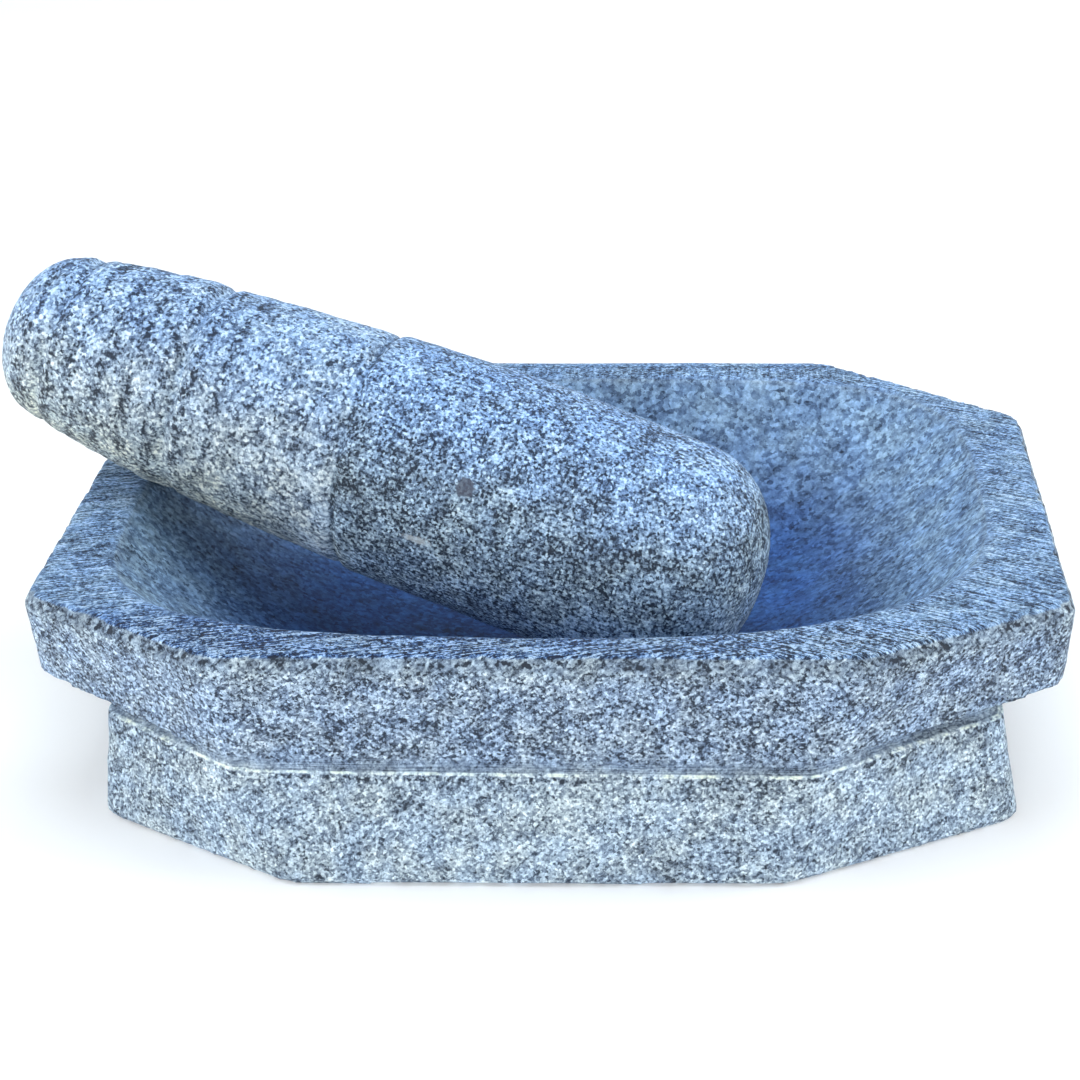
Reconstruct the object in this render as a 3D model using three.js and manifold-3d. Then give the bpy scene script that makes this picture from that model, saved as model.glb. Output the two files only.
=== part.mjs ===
// A hand-cut granite mortar with its pestle, in millimetres, +Z up.
// The mortar is one block: a drafted octagonal slab on a shorter octagonal foot, with a
// ground groove between them and a rounded bowl sunk in the top.
// The pestle is a loose club: ringed handle, smooth fat head. At rest its handle lies
// over the left rim and its head lies on the floor of the bowl.
// Origin: on the underside of the foot. Front is -Y.

import * as THREE from 'three';
import { mergeVertices } from 'three/addons/utils/BufferGeometryUtils.js';
import Module from 'manifold-3d';

const wasm = await Module();
wasm.setup();

// ---- the mortar block ------------------------------------------------------------
const HALF_LENGTH = 122.5;        // of the slab at its widest, along X
const HALF_WIDTH = 96.5;          // of the slab at its widest, along Y
const HEIGHT = 55.5;              // underside to rim
const FOOT_HEIGHT = 26.5;         // underside to the lip of the foot
const SLAB_UNDER_SIDE = 29;       // lower edge of the slab along its long sides
const SLAB_UNDER_END = 33;        // lower edge of the slab at its two ends
const ARRIS_DROP = 3.2;           // bevel worn round the top edge: its height
const ARRIS_INSET = 1.8;          // and how far it leans in
const FOOT_ARRIS = 1.2;           // bevel worn round the bottom edge
const NECK_SET_BACK = 2.6;        // how far the groove is cut in behind the slab

// The octagons the block was cut to by eye, one per level: corners in shares of the half
// length and half width, counter-clockwise from the left end of the front side.
const SLAB_TOP = [
  [-0.6, -0.985], [0.6, -0.97], [1, -0.66], [1, 0.565],
  [0.58, 1.01], [-0.58, 1.01], [-1, 0.565], [-1, -0.645],
];
const SLAB_BOTTOM = [
  [-0.575, -0.968], [0.51, -0.972], [0.985, -0.64], [0.985, 0.55],
  [0.53, 0.99], [-0.56, 0.99], [-0.988, 0.555], [-0.988, -0.612],
];
const FOOT_TOP = [
  [-0.567, -0.972], [0.5, -0.988], [0.877, -0.667], [0.877, 0.59],
  [0.5, 0.98], [-0.55, 0.98], [-0.85, 0.6], [-0.85, -0.684],
];
const FOOT_BOTTOM = [
  [-0.465, -1.035], [0.461, -1.01], [0.914, -0.69], [0.914, 0.63],
  [0.46, 1], [-0.46, 1], [-0.866, 0.63], [-0.866, -0.715],
];

// ---- the bowl --------------------------------------------------------------------
const END_RIM = 16.5;             // flat rim left at the ends
const SIDE_RIM = 15.5;            // flat rim left along the sides
const BOWL_CENTRE_Y = 2;          // the bowl sits a little towards the back
const BOWL_DEPTH = 42.5;
// How square each corner of the bowl was cut: 2 is an ellipse, more is squarer.
const BOWL_CORNERS = { frontLeft: 4, frontRight: 3, backRight: 4, backLeft: 3.5 };
const BOWL_WALL_POWER = 2.7;      // more is a flatter floor and a steeper wall
const RIM_ROLL = 3;               // rounding where the bowl meets the rim
const RIM_ROLL_START = 40;        // degrees round the roll at which the wall joins it
const RIM_ROLL_STEPS = 5;
const BOWL_AROUND = 84;
const BOWL_UP = 15;
const CUTTER_ABOVE = 6;

// ---- the pestle ------------------------------------------------------------------
const PESTLE_LENGTH = 204.6;
const BUTT_CAP = 14;              // length of the domed handle end
const BUTT_CAP_POWER = 2.4;
const HEAD_CAP = 24;              // length of the rounded grinding end
const HEAD_CAP_POWER = 2.2;
// Half-thickness of the club, evenly spaced from the handle end to the grinding end.
const BODY_RADII = [19.1, 23.5, 26.5, 27.8, 28.9, 29.8, 30.8, 31.5, 30.9, 29.8, 29.3];
const RING_STATIONS = [12.5, 37.5, 54, 99];   // grooves turned round the handle
const RING_DEPTHS = [0.9, 0.8, 1.2, 1.0];
const RING_HALF_WIDTH = 2.6;
const CAP_STEPS = 9;
const BODY_STEP = 3;
const PESTLE_AROUND = 48;

// ---- how the pestle lies ---------------------------------------------------------
const BUTT_OVERHANG = 18.2;       // the handle end's centre, out past the left end
const BUTT_Y = 23;                // and towards the back
const PESTLE_SWING = 13.2;        // degrees the head swings towards the front
const PESTLE_GAP = 0.3;           // left under it, measured upright, at both rests
const DIP_RANGE = [2, 35];        // degrees searched for the dip at which both rests touch
const DIP_HALVINGS = 30;

// ---- helpers ---------------------------------------------------------------------
function octagon(shares) {
  return shares.map(([x, y]) => [x * HALF_LENGTH, y * HALF_WIDTH]);
}

function raised(corners, zSides, zEnds = zSides) {
  const isEnd = (i) => i === 2 || i === 3 || i === 6 || i === 7;
  return corners.map(([x, y], i) => [x, y, isEnd(i) ? zEnds : zSides]);
}

// The same outline with every side moved in by the same distance.
function inset(corners, by) {
  return corners.map((corner, i) => {
    const before = corners[(i + corners.length - 1) % corners.length];
    const after = corners[(i + 1) % corners.length];
    const n1 = inwardNormal(before, corner);
    const n2 = inwardNormal(corner, after);
    const stretch = by / (1 + n1[0] * n2[0] + n1[1] * n2[1]);
    return [corner[0] + stretch * (n1[0] + n2[0]), corner[1] + stretch * (n1[1] + n2[1])];
  });
}

function inwardNormal(from, to) {
  const length = Math.hypot(to[0] - from[0], to[1] - from[1]);
  return [-(to[1] - from[1]) / length, (to[0] - from[0]) / length];
}

// A closed skin over rings of points, each ring counter-clockwise seen from above.
function loft(rings) {
  const around = rings[0].length;
  const positions = rings.flat(2);
  const index = [];
  for (let level = 0; level + 1 < rings.length; level += 1) {
    for (let i = 0; i < around; i += 1) {
      const a = level * around + i;
      const b = level * around + ((i + 1) % around);
      index.push(a, b, b + around, a, b + around, a + around);
    }
  }
  addCap(positions, index, rings[0], 0, true);
  addCap(positions, index, rings[rings.length - 1], (rings.length - 1) * around, false);
  const geometry = new THREE.BufferGeometry();
  geometry.setAttribute('position', new THREE.Float32BufferAttribute(positions, 3));
  geometry.setIndex(index);
  return geometry;
}

function addCap(positions, index, ring, start, facingDown) {
  const centre = [0, 1, 2].map((axis) => ring.reduce((sum, p) => sum + p[axis], 0) / ring.length);
  const hub = positions.length / 3;
  positions.push(...centre);
  for (let i = 0; i < ring.length; i += 1) {
    const a = start + i;
    const b = start + ((i + 1) % ring.length);
    index.push(hub, facingDown ? b : a, facingDown ? a : b);
  }
}

function toManifold(geometry) {
  const bare = new THREE.BufferGeometry();
  bare.setAttribute('position', geometry.getAttribute('position').clone());
  if (geometry.index) bare.setIndex(geometry.index.clone());
  const merged = mergeVertices(bare, 1e-4);
  return new wasm.Manifold(new wasm.Mesh({
    numProp: 3,
    vertProperties: new Float32Array(merged.getAttribute('position').array),
    triVerts: new Uint32Array(merged.index.array),
  }));
}

function toGeometry(solid) {
  const mesh = solid.getMesh();
  const geometry = new THREE.BufferGeometry();
  geometry.setAttribute('position', new THREE.Float32BufferAttribute(mesh.vertProperties, 3));
  geometry.setIndex(Array.from(mesh.triVerts));
  return geometry;
}

// ---- mortar ----------------------------------------------------------------------
function mortarBlock() {
  const neck = inset(octagon(FOOT_TOP), NECK_SET_BACK);
  const rim = inset(octagon(SLAB_TOP), ARRIS_INSET);
  return loft([
    raised(inset(octagon(FOOT_BOTTOM), FOOT_ARRIS), 0),
    raised(octagon(FOOT_BOTTOM), FOOT_ARRIS),
    raised(octagon(FOOT_TOP), FOOT_HEIGHT),
    raised(neck, FOOT_HEIGHT),
    raised(neck, SLAB_UNDER_SIDE),
    raised(octagon(SLAB_BOTTOM), SLAB_UNDER_SIDE, SLAB_UNDER_END),
    raised(octagon(SLAB_TOP), HEIGHT - ARRIS_DROP),
    raised(rim, HEIGHT),
  ]);
}

const BOWL_HALF_LENGTH = HALF_LENGTH - END_RIM;
const BOWL_HALF_WIDTH = HALF_WIDTH - SIDE_RIM;
const ROLL_TURN = THREE.MathUtils.degToRad(RIM_ROLL_START);
const WALL_TOP = HEIGHT - RIM_ROLL + RIM_ROLL * Math.sin(ROLL_TURN);

function wallHeight(share) {
  const floor = HEIGHT - BOWL_DEPTH;
  return floor + (WALL_TOP - floor) * share ** BOWL_WALL_POWER;
}

function cornerPower(x, y) {
  if (y < 0) return x < 0 ? BOWL_CORNERS.frontLeft : BOWL_CORNERS.frontRight;
  return x < 0 ? BOWL_CORNERS.backLeft : BOWL_CORNERS.backRight;
}

// The height of the stone's upper surface below a point, or null beyond the block.
function topSurface(x, y) {
  const along = Math.abs(x) / BOWL_HALF_LENGTH;
  const across = Math.abs(y - BOWL_CENTRE_Y) / BOWL_HALF_WIDTH;
  const power = cornerPower(x, y - BOWL_CENTRE_Y);
  const share = (along ** power + across ** power) ** (1 / power);
  if (share < 1) return wallHeight(share);
  return Math.abs(x) < HALF_LENGTH ? HEIGHT : null;
}

function bowlRing(share, outward, z) {
  const ring = [];
  const halfLength = share * (BOWL_HALF_LENGTH + outward);
  const halfWidth = share * (BOWL_HALF_WIDTH + outward);
  for (let i = 0; i < BOWL_AROUND; i += 1) {
    const turn = (2 * Math.PI * i) / BOWL_AROUND;
    const c = Math.cos(turn);
    const s = Math.sin(turn);
    const power = cornerPower(c, s);
    const reach = (Math.abs(c) ** power + Math.abs(s) ** power) ** (-1 / power);
    ring.push([halfLength * reach * c, BOWL_CENTRE_Y + halfWidth * reach * s, z]);
  }
  return ring;
}

// The bowl as a solid: a dished wall, the rolled rim, then straight up out of the block.
function bowlCutter() {
  const rings = [];
  for (let i = 1; i <= BOWL_UP; i += 1) {
    const share = i / BOWL_UP;
    rings.push(bowlRing(share, 0, wallHeight(share)));
  }
  for (let i = 1; i <= RIM_ROLL_STEPS; i += 1) {
    const turn = ROLL_TURN + ((Math.PI / 2 - ROLL_TURN) * i) / RIM_ROLL_STEPS;
    const outward = RIM_ROLL * (Math.cos(ROLL_TURN) - Math.cos(turn));
    rings.push(bowlRing(1, outward, HEIGHT - RIM_ROLL + RIM_ROLL * Math.sin(turn)));
  }
  const lip = RIM_ROLL * Math.cos(ROLL_TURN);
  rings.push(bowlRing(1, lip, HEIGHT + CUTTER_ABOVE));
  return loft(rings);
}

// ---- pestle ----------------------------------------------------------------------
function bodyRadius(along) {
  const place = (along / PESTLE_LENGTH) * (BODY_RADII.length - 1);
  const low = Math.min(Math.floor(place), BODY_RADII.length - 2);
  const plain = THREE.MathUtils.lerp(BODY_RADII[low], BODY_RADII[low + 1], place - low);
  return plain - ringDepth(along);
}

function ringDepth(along) {
  let depth = 0;
  RING_STATIONS.forEach((station, i) => {
    const away = Math.abs(along - station) / RING_HALF_WIDTH;
    if (away < 1) depth += RING_DEPTHS[i] * (1 - away * away);
  });
  return depth;
}

function domed(radius, outOfCap, capLength, power) {
  const share = THREE.MathUtils.clamp(outOfCap / capLength, 0, 1);
  return radius * Math.max(0, 1 - share ** power) ** (1 / power);
}

function pestleStations() {
  const stations = [];
  for (let i = 0; i < CAP_STEPS; i += 1) {
    stations.push(BUTT_CAP * (1 - Math.cos((Math.PI / 2) * (i / CAP_STEPS))));
  }
  const bodyEnd = PESTLE_LENGTH - HEAD_CAP;
  const steps = Math.round((bodyEnd - BUTT_CAP) / BODY_STEP);
  for (let i = 0; i <= steps; i += 1) {
    stations.push(BUTT_CAP + ((bodyEnd - BUTT_CAP) * i) / steps);
  }
  for (let i = 1; i <= CAP_STEPS; i += 1) {
    stations.push(bodyEnd + HEAD_CAP * Math.sin((Math.PI / 2) * (i / CAP_STEPS)));
  }
  return stations;
}

function pestleProfile() {
  return pestleStations().map((along) => {
    const inButt = domed(bodyRadius(along), BUTT_CAP - along, BUTT_CAP, BUTT_CAP_POWER);
    const past = along - (PESTLE_LENGTH - HEAD_CAP);
    return new THREE.Vector2(domed(inButt, past, HEAD_CAP, HEAD_CAP_POWER), along);
  });
}

// The club turned about Y, then laid along its line with its handle end at height 0.
function laidClub(dip) {
  const club = new THREE.LatheGeometry(pestleProfile(), PESTLE_AROUND);
  const swing = THREE.MathUtils.degToRad(PESTLE_SWING);
  const line = new THREE.Vector3(
    Math.cos(dip) * Math.cos(swing),
    -Math.cos(dip) * Math.sin(swing),
    -Math.sin(dip),
  );
  const turn = new THREE.Quaternion().setFromUnitVectors(new THREE.Vector3(0, 1, 0), line);
  club.applyQuaternion(turn);
  club.translate(-HALF_LENGTH - BUTT_OVERHANG, BUTT_Y, 0);
  return club;
}

// The least height above the stone, over the left rim and over the rest of the bowl.
function clearances(club) {
  const points = club.getAttribute('position');
  const least = { rim: Infinity, bowl: Infinity };
  for (let i = 0; i < points.count; i += 1) {
    const surface = topSurface(points.getX(i), points.getY(i));
    if (surface !== null) {
      const place = points.getX(i) < -BOWL_HALF_LENGTH / 2 ? 'rim' : 'bowl';
      least[place] = Math.min(least[place], points.getZ(i) - surface);
    }
  }
  return least;
}

// The dip is halved in on until the handle meets the rim as the head meets the bowl.
function restingPestle() {
  let [low, high] = DIP_RANGE.map(THREE.MathUtils.degToRad);
  for (let i = 0; i < DIP_HALVINGS; i += 1) {
    const middle = (low + high) / 2;
    const least = clearances(laidClub(middle));
    if (least.bowl > least.rim) low = middle;
    else high = middle;
  }
  const club = laidClub((low + high) / 2);
  const least = clearances(club);
  club.translate(0, 0, PESTLE_GAP - Math.min(least.rim, least.bowl));
  return club;
}

// ---- the object ------------------------------------------------------------------
function named(name, geometry, colour) {
  const material = new THREE.MeshStandardMaterial({ color: colour, roughness: 0.9 });
  const mesh = new THREE.Mesh(geometry, material);
  mesh.name = name;
  return mesh;
}

const mortarSolid = toManifold(mortarBlock()).subtract(toManifold(bowlCutter()));
const pestleSolid = toManifold(restingPestle());

const molcajete = new THREE.Group();
molcajete.name = 'molcajete';
molcajete.add(named('mortar', toGeometry(mortarSolid), 0x8fa3b8));
molcajete.add(named('pestle', toGeometry(pestleSolid), 0xa3b2c2));

export default molcajete;
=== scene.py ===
# %% [markdown]
# # A granite mortar and its pestle
#
# Two pieces of blue-grey granite, cut by hand: a low eight-sided mortar on a stepped foot,
# and a stout club of a pestle that lies with its handle over the left rim.
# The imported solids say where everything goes. Each stone is modelled again at full detail in
# the same place, because a stone's looks are in what the saw, the grinder and years of use
# leave on it, and a plain solid has none of that.

# %% Load the frame
import math

import bpy
import numpy as np
from mathutils import Matrix, Vector, noise


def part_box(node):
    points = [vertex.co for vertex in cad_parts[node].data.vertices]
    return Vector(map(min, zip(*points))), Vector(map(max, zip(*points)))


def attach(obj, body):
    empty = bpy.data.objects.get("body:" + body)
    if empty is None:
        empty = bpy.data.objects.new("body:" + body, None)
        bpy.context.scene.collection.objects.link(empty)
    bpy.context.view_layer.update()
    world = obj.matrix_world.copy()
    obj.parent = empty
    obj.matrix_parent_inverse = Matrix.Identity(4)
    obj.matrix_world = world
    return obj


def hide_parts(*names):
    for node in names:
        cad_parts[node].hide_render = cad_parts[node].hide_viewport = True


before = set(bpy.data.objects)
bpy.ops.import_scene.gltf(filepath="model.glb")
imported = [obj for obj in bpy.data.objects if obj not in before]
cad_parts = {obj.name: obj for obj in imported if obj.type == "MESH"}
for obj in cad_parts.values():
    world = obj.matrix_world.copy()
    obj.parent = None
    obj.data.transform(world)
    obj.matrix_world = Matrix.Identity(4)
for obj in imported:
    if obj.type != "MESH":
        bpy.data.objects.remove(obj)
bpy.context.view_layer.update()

MM = 0.001
print("solids to stand in for:", sorted(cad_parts))

# %% [markdown]
# ## Working one piece at a time
#
# Operators act on whatever is selected, and the solids come in selected. So every step first
# deselects everything and makes one piece the active one. Edit mode is opened only for as long
# as a step needs it.


# %% Helpers for picking a piece up
def only(piece):
    """This piece alone is selected and active."""
    if bpy.context.object and bpy.context.object.mode != "OBJECT":
        bpy.ops.object.mode_set(mode="OBJECT")
    bpy.ops.object.select_all(action="DESELECT")
    piece.select_set(True)
    bpy.context.view_layer.objects.active = piece


def named(name):
    """The primitive just added, with its own name."""
    piece = bpy.context.object
    piece.name = piece.data.name = name
    return piece


def finish_modifier(piece, kind, **settings):
    """Adds a modifier, sets it and applies it."""
    only(piece)
    modifier = piece.modifiers.new(kind.lower(), kind)
    for setting, value in settings.items():
        setattr(modifier, setting, value)
    bpy.ops.object.modifier_apply(modifier=modifier.name)


def points_of(piece):
    """Every vertex as a row of x, y, z."""
    flat = np.empty(len(piece.data.vertices) * 3, np.float32)
    piece.data.vertices.foreach_get("co", flat)
    return flat.reshape(-1, 3).astype(float)


def put_points(piece, points):
    piece.data.vertices.foreach_set("co", points.astype(np.float32).ravel())
    piece.data.update()


def normals_of(piece):
    flat = np.empty(len(piece.data.vertices) * 3, np.float32)
    piece.data.vertex_normals.foreach_get("vector", flat)
    return flat.reshape(-1, 3).astype(float)


def smooth_step(low, high, value):
    """0 below low, 1 above high, and an easy S between them."""
    share = np.clip((value - low) / (high - low), 0.0, 1.0)
    return share * share * (3.0 - 2.0 * share)


def lumps(points, size, seed, octaves=2):
    """Smooth noise between about -1 and 1, with lumps of the given size in metres."""
    shift = Vector((seed * 7.31, seed * 3.17, seed * 5.53))
    scaled = points / size
    made = [noise.fractal(Vector(p) + shift, 0.9, 2.0, octaves) for p in scaled]
    return np.array(made)


# %% [markdown]
# ## The mortar's block
#
# The real block was sawn, not turned: eight flat sides, each a little out of true, a foot that
# is shorter than the slab, and a narrow groove ground in between with the edge of a disc.
# It could be one extruded outline, but then its sides would be dead upright. Here a disc is
# extruded ring by ring, and each new ring's points are moved to that level's own outline, so
# every side gets its own slant. The corners are drawn a little round, as the grinder left them.

# %% Outlines of the block
LOW, HIGH = (Vector(corner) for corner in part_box("mortar"))
HALF_LENGTH = (HIGH.x - LOW.x) / 2
HALF_WIDTH = 96.5 * MM
HEIGHT = HIGH.z
FOOT_HEIGHT = 26.5 * MM
SLAB_UNDER_SIDE = 29.0 * MM
SLAB_UNDER_END = 33.0 * MM
ARRIS_DROP, ARRIS_INSET = 3.2 * MM, 1.8 * MM
FOOT_ARRIS = 1.2 * MM
NECK_SET_BACK = 2.6 * MM

# Corners in shares of the half length and half width, from the front side's left end.
SLAB_TOP = [(-0.6, -0.985), (0.6, -0.97), (1.0, -0.66), (1.0, 0.565),
            (0.58, 1.01), (-0.58, 1.01), (-1.0, 0.565), (-1.0, -0.645)]
SLAB_BOTTOM = [(-0.575, -0.968), (0.51, -0.972), (0.985, -0.64), (0.985, 0.55),
               (0.53, 0.99), (-0.56, 0.99), (-0.988, 0.555), (-0.988, -0.612)]
FOOT_TOP = [(-0.567, -0.972), (0.5, -0.988), (0.877, -0.667), (0.877, 0.59),
            (0.5, 0.98), (-0.55, 0.98), (-0.85, 0.6), (-0.85, -0.684)]
FOOT_BOTTOM = [(-0.465, -1.035), (0.461, -1.01), (0.914, -0.69), (0.914, 0.63),
               (0.46, 1.0), (-0.46, 1.0), (-0.866, 0.63), (-0.866, -0.715)]
END_CORNERS = (2, 3, 6, 7)
CORNER_STEPS = 5
SLAB_ROUNDING, FOOT_ROUNDING, NECK_ROUNDING = 9 * MM, 8 * MM, 6 * MM
print(f"block {2 * HALF_LENGTH / MM:.0f} mm long, {HEIGHT / MM:.1f} mm high")


# %% Outlines from corners
def outline(shares):
    return [Vector((x * HALF_LENGTH, y * HALF_WIDTH)) for x, y in shares]


def inset(corners, by):
    """The same outline with every side moved inwards."""
    moved = []
    for i, corner in enumerate(corners):
        before = (corner - corners[i - 1]).normalized()
        after = (corners[(i + 1) % len(corners)] - corner).normalized()
        in_before, in_after = Vector((-before.y, before.x)), Vector((-after.y, after.x))
        middle = (in_before + in_after).normalized()
        moved.append(corner + middle * by / middle.dot(in_after))
    return moved


def ring_at(corners, z, z_ends=None, rounding=SLAB_ROUNDING):
    """The outline at a height, each corner drawn as a small curve of several points."""
    ring = []
    for i, corner in enumerate(corners):
        level = z_ends if z_ends is not None and i in END_CORNERS else z
        start = corner + (corners[i - 1] - corner).normalized() * rounding / 2
        end = corner + (corners[(i + 1) % len(corners)] - corner).normalized() * rounding / 2
        for step in range(CORNER_STEPS):
            share = step / (CORNER_STEPS - 1)
            point = ((1 - share) ** 2 * start + 2 * share * (1 - share) * corner
                     + share ** 2 * end)
            ring.append(Vector((point.x, point.y, level)))
    return ring


# %% The block, extruded from a disc
def turn_of(x, y):
    return math.atan2(y, x) % (2 * math.pi)


def move_ring(piece, ring):
    """Moves the selected ring of points, one by one, to its own outline."""
    bpy.ops.object.mode_set(mode="OBJECT")
    loose = [v for v in piece.data.vertices if v.select]
    loose.sort(key=lambda v: turn_of(*v.co[:2]))
    for vertex, point in zip(loose, sorted(ring, key=lambda p: turn_of(p.x, p.y))):
        vertex.co = point
    bpy.ops.object.mode_set(mode="EDIT")


def loft(name, rings):
    """A closed form: a disc, extruded once for each further ring."""
    bpy.ops.object.select_all(action="DESELECT")
    bpy.ops.mesh.primitive_circle_add(vertices=len(rings[0]), radius=HALF_WIDTH,
                                      fill_type="NGON")
    piece = named(name)
    bpy.ops.object.mode_set(mode="EDIT")
    bpy.ops.mesh.select_mode(type="VERT")
    bpy.ops.mesh.select_all(action="SELECT")
    move_ring(piece, rings[0])
    for ring in rings[1:]:
        bpy.ops.mesh.extrude_region_move(TRANSFORM_OT_translate={"value": (0, 0, MM)})
        move_ring(piece, ring)
    bpy.ops.mesh.select_all(action="SELECT")
    bpy.ops.mesh.normals_make_consistent(inside=False)
    bpy.ops.object.mode_set(mode="OBJECT")
    return piece


foot_bottom, foot_top = outline(FOOT_BOTTOM), outline(FOOT_TOP)
slab_bottom, slab_top = outline(SLAB_BOTTOM), outline(SLAB_TOP)
neck = inset(foot_top, NECK_SET_BACK)
mortar = loft("mortar_stone", [
    ring_at(inset(foot_bottom, FOOT_ARRIS), 0),
    ring_at(foot_bottom, FOOT_ARRIS),
    ring_at(foot_top, FOOT_HEIGHT, rounding=FOOT_ROUNDING),
    ring_at(neck, FOOT_HEIGHT, rounding=NECK_ROUNDING),
    ring_at(neck, SLAB_UNDER_SIDE, SLAB_UNDER_END, NECK_ROUNDING),
    ring_at(slab_bottom, SLAB_UNDER_SIDE, SLAB_UNDER_END),
    ring_at(slab_top, HEIGHT - ARRIS_DROP),
    ring_at(inset(slab_top, ARRIS_INSET), HEIGHT),
])
print("block:", len(mortar.data.vertices), "points,", len(mortar.data.polygons), "faces")

# %% [markdown]
# ## The bowl
#
# The bowl is squarer than an ellipse, dished at the floor and steep near the rim. Its edge is
# worn round, and the middle of its front lip is worn forwards, where the pestle rides.
# A squashed ball would be too pointed at the corners. So a ring is drawn in the bowl's own
# plan and extruded upwards in small steps, each ring resized to the wall's outline. The closed
# form is then taken out of the block with a Boolean, and the block is remeshed to one even
# skin that can carry wear.

# %% The bowl's form
BOWL_HALF_LENGTH = 106 * MM
BOWL_HALF_WIDTH = 81 * MM
BOWL_CENTRE = Vector((0, 2 * MM, 0))
BOWL_DEPTH = 42.5 * MM
WALL_POWER = 2.7
CORNER_POWERS = {(-1, -1): 4.0, (1, -1): 3.0, (1, 1): 4.0, (-1, 1): 3.5}
RIM_ROLL = 3.0 * MM
ROLL_FROM = math.radians(40)
RING_POINTS = 96
WALL_STEPS, ROLL_STEPS = 20, 5
CUT_PAST_TOP = 6 * MM
FLOOR = HEIGHT - BOWL_DEPTH
LIP_WEAR = 3.0 * MM
LIP_WEAR_HALF = 75 * MM


def front_wear(x, y):
    """How far the front lip has been worn forwards, most in its middle."""
    along = np.clip(1 - (x / LIP_WEAR_HALF) ** 2, 0, 1)
    return LIP_WEAR * along * smooth_step(30 * MM, 60 * MM, -y)


def corner_power(x, y):
    return CORNER_POWERS[(1 if x >= 0 else -1, 1 if y >= 0 else -1)]


def plan_reach(turn):
    """How far out the bowl's plan lies in this direction, where an ellipse has 1."""
    c, s = math.cos(turn), math.sin(turn)
    power = corner_power(c, s)
    return (abs(c) ** power + abs(s) ** power) ** (-1 / power)


def bowl_steps():
    """(half length, half width, height) of each ring, from the floor up and out."""
    wall_top = HEIGHT - RIM_ROLL * (1 - math.sin(ROLL_FROM))
    steps = []
    for i in range(1, WALL_STEPS + 1):
        share = i / WALL_STEPS
        rise = (wall_top - FLOOR) * share ** WALL_POWER
        steps.append((BOWL_HALF_LENGTH * share, BOWL_HALF_WIDTH * share, FLOOR + rise))
    for i in range(1, ROLL_STEPS + 1):
        turn = ROLL_FROM + (math.pi / 2 - ROLL_FROM) * i / ROLL_STEPS
        out = RIM_ROLL * (math.cos(ROLL_FROM) - math.cos(turn))
        z = HEIGHT - RIM_ROLL * (1 - math.sin(turn))
        steps.append((BOWL_HALF_LENGTH + out, BOWL_HALF_WIDTH + out, z))
    out = RIM_ROLL * math.cos(ROLL_FROM)
    steps.append((BOWL_HALF_LENGTH + out, BOWL_HALF_WIDTH + out, HEIGHT + CUT_PAST_TOP))
    return steps


def bowl_form():
    steps = bowl_steps()
    length, width, z = steps[0]
    bpy.ops.object.select_all(action="DESELECT")
    bpy.ops.mesh.primitive_circle_add(vertices=RING_POINTS, radius=1, fill_type="NGON",
                                      location=BOWL_CENTRE + Vector((0, 0, z)))
    form = named("bowl_form")
    for vertex in form.data.vertices:
        reach = plan_reach(turn_of(*vertex.co[:2]))
        vertex.co = Vector((vertex.co.x * reach * length, vertex.co.y * reach * width, 0))
    bpy.ops.object.transform_apply(location=True, rotation=False, scale=False)
    bpy.ops.object.mode_set(mode="EDIT")
    bpy.ops.mesh.select_mode(type="VERT")
    bpy.ops.mesh.select_all(action="SELECT")
    for new_length, new_width, new_z in steps[1:]:
        bpy.ops.mesh.extrude_region_move(TRANSFORM_OT_translate={"value": (0, 0, new_z - z)})
        bpy.ops.transform.resize(value=(new_length / length, new_width / width, 1),
                                 center_override=BOWL_CENTRE + Vector((0, 0, new_z)))
        length, width, z = new_length, new_width, new_z
    bpy.ops.mesh.select_all(action="SELECT")
    bpy.ops.mesh.normals_make_consistent(inside=False)
    bpy.ops.object.mode_set(mode="OBJECT")
    points = points_of(form)
    high_part = smooth_step(FLOOR + 15 * MM, HEIGHT - 4 * MM, points[:, 2])
    points[:, 1] -= front_wear(points[:, 0], points[:, 1]) * high_part
    put_points(form, points)
    return form


bowl = bowl_form()
print("bowl form:", len(bowl.data.vertices), "corners,", BOWL_DEPTH / MM, "mm deep")

# %% Sink the bowl into the block
MORTAR_VOXEL = 1.31 * MM
finish_modifier(mortar, "BOOLEAN", operation="DIFFERENCE", object=bowl, solver="EXACT")
bpy.data.objects.remove(bowl)
finish_modifier(mortar, "REMESH", mode="VOXEL", voxel_size=MORTAR_VOXEL, use_smooth_shade=True)
print("mortar after the remesh:", len(mortar.data.polygons), "faces")

# %% [markdown]
# ## Wear on the mortar
#
# Stone shows its age at its edges. The arris round the rim has lost grains and small chips, the
# long sides are slightly hollow or proud from the saw, the bowl is evenly pecked, and the
# groove keeps the ridges of the disc. All of these are real shape, so they are moved into the
# mesh: how far each point moves is the sum of a few noises, each held to its own zone.


# %% Zones of the mortar
def bowl_share(points):
    """0 at the middle of the bowl, 1 at its edge, more outside."""
    x = points[:, 0] - BOWL_CENTRE.x
    y = points[:, 1] - BOWL_CENTRE.y + front_wear(points[:, 0], points[:, 1])
    power = np.empty(len(points))
    for (sign_x, sign_y), value in CORNER_POWERS.items():
        inside = ((x >= 0) == (sign_x > 0)) & ((y >= 0) == (sign_y > 0))
        power[inside] = value
    along, across = np.abs(x) / BOWL_HALF_LENGTH, np.abs(y) / BOWL_HALF_WIDTH
    return (along ** power + across ** power) ** (1 / power)


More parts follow.
